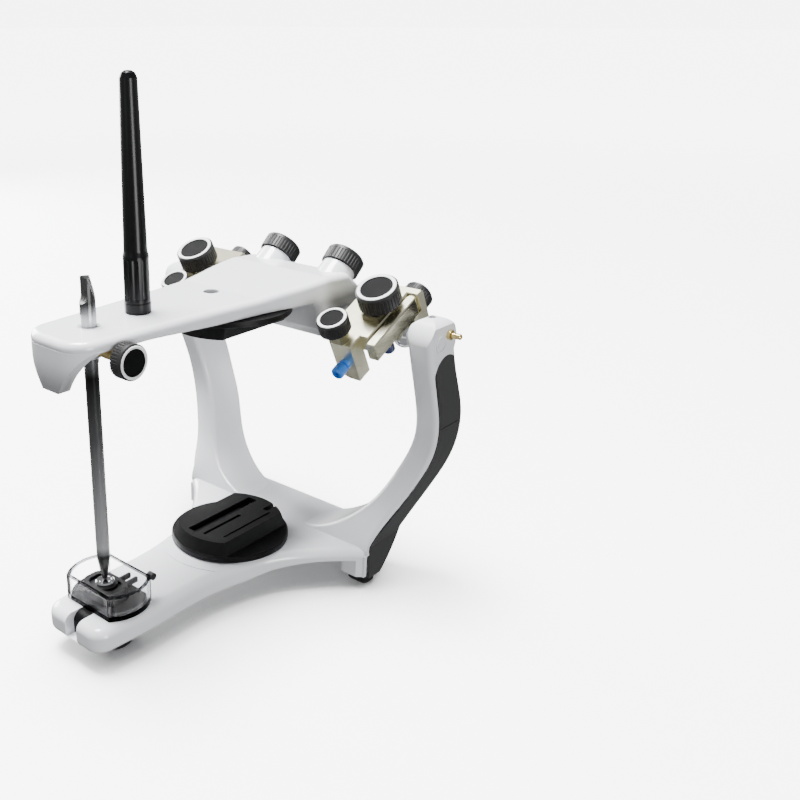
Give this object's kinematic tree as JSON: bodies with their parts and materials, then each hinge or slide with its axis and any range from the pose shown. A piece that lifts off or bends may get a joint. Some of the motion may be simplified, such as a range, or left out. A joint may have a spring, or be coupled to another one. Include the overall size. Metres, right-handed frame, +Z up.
{
  "type": "dental articulator",
  "caption": "Semi-adjustable dental articulator: wishbone lower frame, hinged upper arm, condylar housings, incisal pin and table, cast plates and support rod.",
  "frame": {"origin": "on the bench, under the middle of the object's box, between the posts and the nose", "axes": "+X towards the right post, -Y towards the incisal table at the front, +Z up"},
  "size_m": [0.152, 0.149, 0.2057],
  "materials": {
    "painted_white": "gloss white powder coat",
    "black_cover": "satin black moulded cover",
    "black_plate": "matte black moulded plate",
    "knob_black": "matte black ridged knob",
    "ring_white": "white inlaid ring",
    "champagne": "pale champagne nickel, satin",
    "rod_black": "gloss black rod",
    "steel": "polished steel",
    "pin_steel": "steel pin, dark finish lower down",
    "pin_black": "black pin point",
    "brass": "polished brass",
    "blue": "anodised blue",
    "rubber": "black rubber",
    "clear": "clear acrylic",
    "dark_insert": "dark grey moulded insert",
    "screw_grey": "dark grey steel",
    "magnet": "nickel plated magnet"
  },
  "bodies": {
    "lower_frame": {"lower_base": "painted_white", "left_post": "painted_white", "right_post": "painted_white", "left_cover_upper": "black_cover", "left_cover_lower": "black_cover", "right_cover_upper": "black_cover", "right_cover_lower": "black_cover", "rubber_feet": "rubber", "condyle_stems": "steel", "stem_caps": "steel", "ear_bow_pegs": "brass", "head_grub_screws": "screw_grey", "post_screws": "screw_grey", "lower_magnet": "magnet"},
    "lower_plate": {"lower_mounting_plate": "black_plate", "lower_plate_disc": "magnet"},
    "incisal_table": {"table_slide_block": "dark_insert", "table_cup": "clear", "table_insert": "dark_insert", "table_anvil": "steel", "table_lock_nub": "knob_black"},
    "condyles": {"condyle_balls": "steel"},
    "upper_member": {"upper_frame": "painted_white", "upper_plate_screw": "screw_grey", "upper_magnet": "magnet", "pin_bush": "steel"},
    "upper_plate": {"upper_mounting_plate": "black_plate", "upper_plate_disc": "magnet"},
    "rod": {"support_rod": "rod_black"},
    "pin": {"incisal_pin": "pin_steel", "pin_tip": "pin_black"},
    "pin_clamp": {"pin_clamp_screw": "brass", "pin_clamp_knob": "knob_black", "pin_clamp_ring": "ring_white"},
    "left_lock": {"left_lock_knob": "knob_black", "left_lock_ring": "ring_white"},
    "left_condylar_housing": {"left_housing": "champagne", "left_housing_stem": "steel", "left_clamp_plate": "champagne", "left_blue_screws": "blue"},
    "left_side_wing": {"left_wing": "champagne"},
    "left_bennett_lock": {"left_bennett_knob": "knob_black", "left_bennett_ring": "ring_white"},
    "left_shift_lock": {"left_shift_knob": "knob_black", "left_shift_ring": "ring_white"},
    "left_centric_lock": {"left_centric_knob": "knob_black", "left_centric_ring": "ring_white"},
    "right_lock": {"right_lock_knob": "knob_black", "right_lock_ring": "ring_white"},
    "right_condylar_housing": {"right_housing": "champagne", "right_housing_stem": "steel", "right_clamp_plate": "champagne", "right_blue_screws": "blue"},
    "right_side_wing": {"right_wing": "champagne"},
    "right_bennett_lock": {"right_bennett_knob": "knob_black", "right_bennett_ring": "ring_white"},
    "right_shift_lock": {"right_shift_knob": "knob_black", "right_shift_ring": "ring_white"},
    "right_centric_lock": {"right_centric_knob": "knob_black", "right_centric_ring": "ring_white"}
  },
  "joints": [
    {"name": "opening", "type": "hinge", "parent": "lower_frame", "child": "condyles", "pos_m": [0, 0.0495, 0.109], "axis": [-1, 0, 0], "range_deg": [0, 185]},
    {"name": "protrusion", "type": "slide", "parent": "condyles", "child": "upper_member", "axis": [0, 0.891, 0.454], "range_m": [0, 0.008]},
    {"name": "lower_plate_lift", "type": "slide", "parent": "lower_frame", "child": "lower_plate", "axis": [0, 0, 1], "range_m": [0, 0.012]},
    {"name": "table_slide", "type": "slide", "parent": "lower_frame", "child": "incisal_table", "axis": [0, 1, 0], "range_m": [-0.004, 0.005]},
    {"name": "upper_plate_release", "type": "slide", "parent": "upper_member", "child": "upper_plate", "axis": [0, 0, -1], "range_m": [0, 0.012]},
    {"name": "rod_turn", "type": "hinge", "parent": "upper_member", "child": "rod", "pos_m": [0, -0.0353, 0.126], "axis": [0, 0, 1], "continuous": true},
    {"name": "pin_height", "type": "slide", "parent": "upper_member", "child": "pin", "axis": [0, 0, 1], "range_m": [0, 0.012]},
    {"name": "pin_clamp_turn", "type": "hinge", "parent": "upper_member", "child": "pin_clamp", "pos_m": [0.0173, -0.0571, 0.1182], "axis": [1, 0, 0], "range_deg": [0, 180]},
    {"name": "left_lock_turn", "type": "hinge", "parent": "upper_member", "child": "left_lock", "pos_m": [-0.0165, 0.0581, 0.1272], "axis": [0, 0.7431, 0.6691], "range_deg": [0, 180]},
    {"name": "left_inclination", "type": "hinge", "parent": "upper_member", "child": "left_condylar_housing", "pos_m": [0, 0.0495, 0.109], "axis": [-1, 0, 0], "range_deg": [-33, 27]},
    {"name": "left_wing_angle", "type": "hinge", "parent": "left_condylar_housing", "child": "left_side_wing", "pos_m": [-0.055, 0.053, 0.11976], "axis": [0, -0.454, 0.891], "range_deg": [-12, 0]},
    {"name": "left_bennett_turn", "type": "hinge", "parent": "left_condylar_housing", "child": "left_bennett_lock", "pos_m": [-0.0477, 0.04269, 0.12237], "axis": [0, -0.454, 0.891], "range_deg": [0, 180]},
    {"name": "left_shift_turn", "type": "hinge", "parent": "left_condylar_housing", "child": "left_shift_lock", "pos_m": [-0.0415, 0.0237, 0.11471], "axis": [0, -0.454, 0.891], "range_deg": [0, 180]},
    {"name": "left_centric_turn", "type": "hinge", "parent": "left_condylar_housing", "child": "left_centric_lock", "pos_m": [-0.047, 0.06661, 0.11772], "axis": [0, 0.891, 0.454], "range_deg": [0, 180]},
    {"name": "right_lock_turn", "type": "hinge", "parent": "upper_member", "child": "right_lock", "pos_m": [0.0165, 0.0581, 0.1272], "axis": [0, 0.7431, 0.6691], "range_deg": [0, 180]},
    {"name": "right_inclination", "type": "hinge", "parent": "upper_member", "child": "right_condylar_housing", "pos_m": [0, 0.0495, 0.109], "axis": [-1, 0, 0], "range_deg": [-33, 27]},
    {"name": "right_wing_angle", "type": "hinge", "parent": "right_condylar_housing", "child": "right_side_wing", "pos_m": [0.055, 0.053, 0.11976], "axis": [0, 0.454, -0.891], "range_deg": [-12, 0]},
    {"name": "right_bennett_turn", "type": "hinge", "parent": "right_condylar_housing", "child": "right_bennett_lock", "pos_m": [0.0477, 0.04269, 0.12237], "axis": [0, -0.454, 0.891], "range_deg": [0, 180]},
    {"name": "right_shift_turn", "type": "hinge", "parent": "right_condylar_housing", "child": "right_shift_lock", "pos_m": [0.0415, 0.0237, 0.11471], "axis": [0, -0.454, 0.891], "range_deg": [0, 180]},
    {"name": "right_centric_turn", "type": "hinge", "parent": "right_condylar_housing", "child": "right_centric_lock", "pos_m": [0.047, 0.06661, 0.11772], "axis": [0, 0.891, 0.454], "range_deg": [0, 180]}
  ]
}
